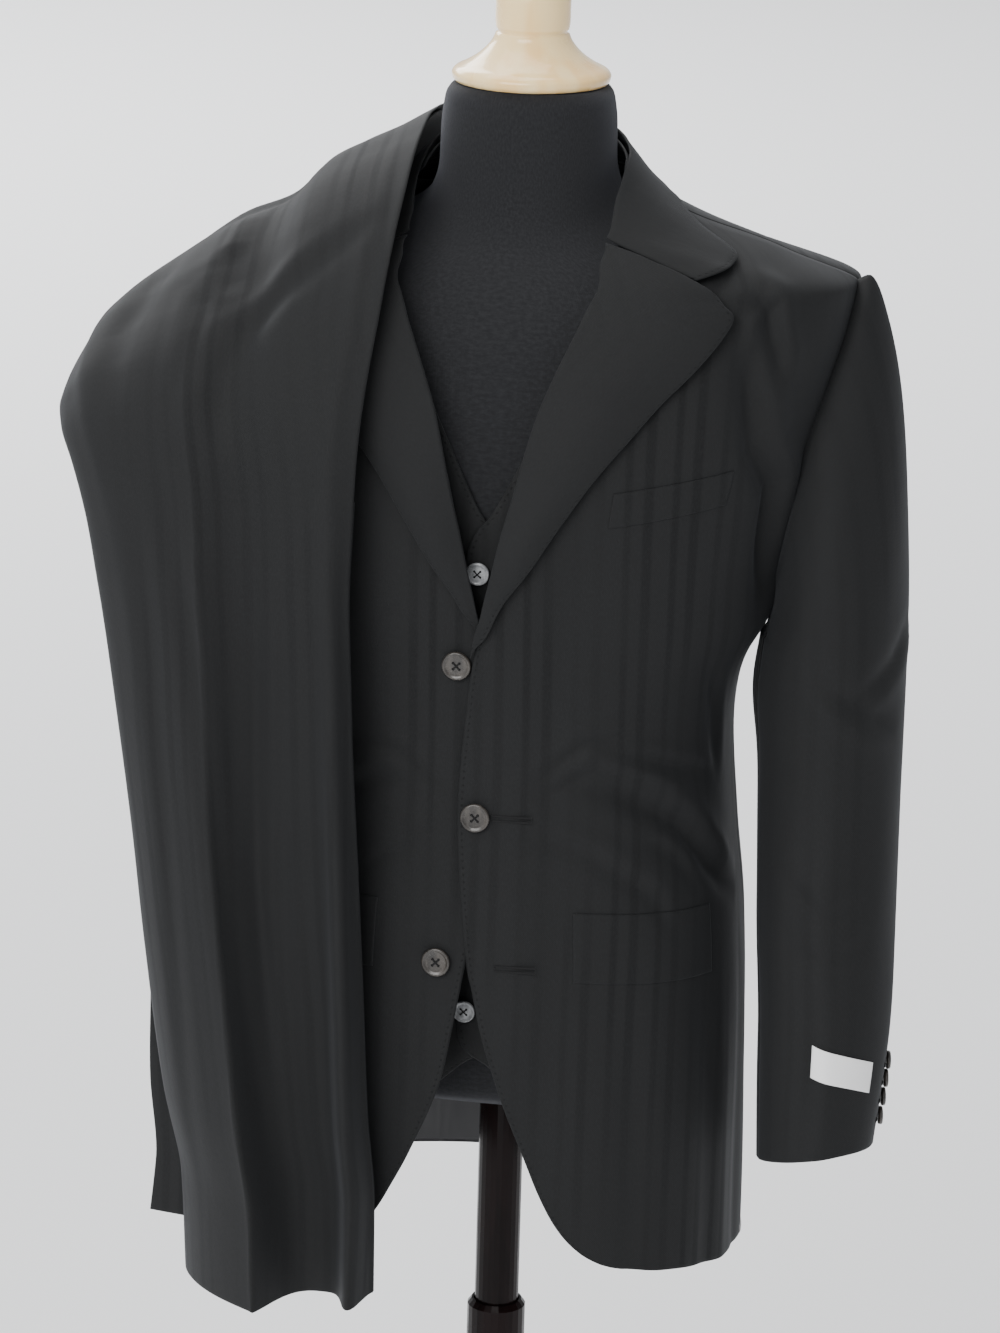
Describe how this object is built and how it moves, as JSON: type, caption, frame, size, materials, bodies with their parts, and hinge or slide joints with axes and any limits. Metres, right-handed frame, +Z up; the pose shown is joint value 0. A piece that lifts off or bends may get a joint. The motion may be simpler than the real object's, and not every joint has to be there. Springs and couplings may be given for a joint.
{
  "type": "three-piece suit on a dress form with a pole stand",
  "caption": "Men's three-piece suit: jacket and waistcoat worn by a limbless dress form on a height-adjustable pole stand, trousers draped over one shoulder.",
  "frame": {"origin": "middle of the underside of the stand's base, on the pole's axis", "axes": "+Z up along the pole, the form's front faces -Y, the wearer's left is +X"},
  "size_m": [0.6087, 0.3778, 1.6253],
  "materials": {
    "suiting": "worsted wool, soft matt",
    "satin": "satin lining cloth",
    "jersey": "matt jersey over a light form",
    "label": "woven satin tape, blank",
    "horn": "horn look, polished",
    "pearl": "pearl look, polished",
    "maple": "pale wood, gloss lacquer",
    "dark_wood": "dark stained wood, gloss lacquer"
  },
  "bodies": {
    "stand": {"stand_base": "dark_wood", "stand_clamp_collar": "dark_wood", "stand_tube": "dark_wood"},
    "pole": {"pole": "dark_wood"},
    "figure": {"cuff_left_button_1": "horn", "cuff_left_button_2": "horn", "cuff_left_button_3": "horn", "cuff_left_button_4": "horn", "cuff_right_button_1": "horn", "cuff_right_button_2": "horn", "cuff_right_button_3": "horn", "cuff_right_button_4": "horn", "form_neck_cap": "maple", "form_torso": "jersey", "jacket_back_left": "suiting", "jacket_back_right": "suiting", "jacket_breast_welt": "suiting", "jacket_button_1": "horn", "jacket_button_2": "horn", "jacket_button_3": "horn", "jacket_collar_leaf": "suiting", "jacket_collar_stand": "suiting", "jacket_flap_left": "suiting", "jacket_flap_right": "suiting", "jacket_front_left": "suiting", "jacket_front_right": "suiting", "jacket_lapel_left": "suiting", "jacket_lapel_right": "suiting", "jacket_sleeve_left_under": "suiting", "jacket_sleeve_left_upper": "suiting", "jacket_sleeve_right_under": "suiting", "jacket_sleeve_right_upper": "suiting", "sleeve_label": "label", "trouser_belt_loop_1": "suiting", "trouser_belt_loop_2": "suiting", "trouser_belt_loop_3": "suiting", "trouser_leg_a_inner": "suiting", "trouser_leg_a_outer": "suiting", "trouser_leg_b_inner": "suiting", "trouser_leg_b_outer": "suiting", "trouser_pocket_welt": "suiting", "trouser_waistband_inner": "suiting", "trouser_waistband_outer": "suiting", "vest_back_left": "satin", "vest_back_right": "satin", "vest_button_1": "pearl", "vest_button_2": "pearl", "vest_button_3": "pearl", "vest_button_4": "pearl", "vest_button_5": "pearl", "vest_button_6": "pearl", "vest_front_left": "suiting", "vest_front_right": "suiting"}
  },
  "joints": [
    {"name": "height", "type": "slide", "parent": "stand", "child": "pole", "axis": [0, 0, 1], "range_m": [-0.12, 0.2]},
    {"name": "swivel", "type": "hinge", "parent": "pole", "child": "figure", "pos_m": [0, 0, 0.8145], "axis": [0, 0, 1], "continuous": true}
  ]
}
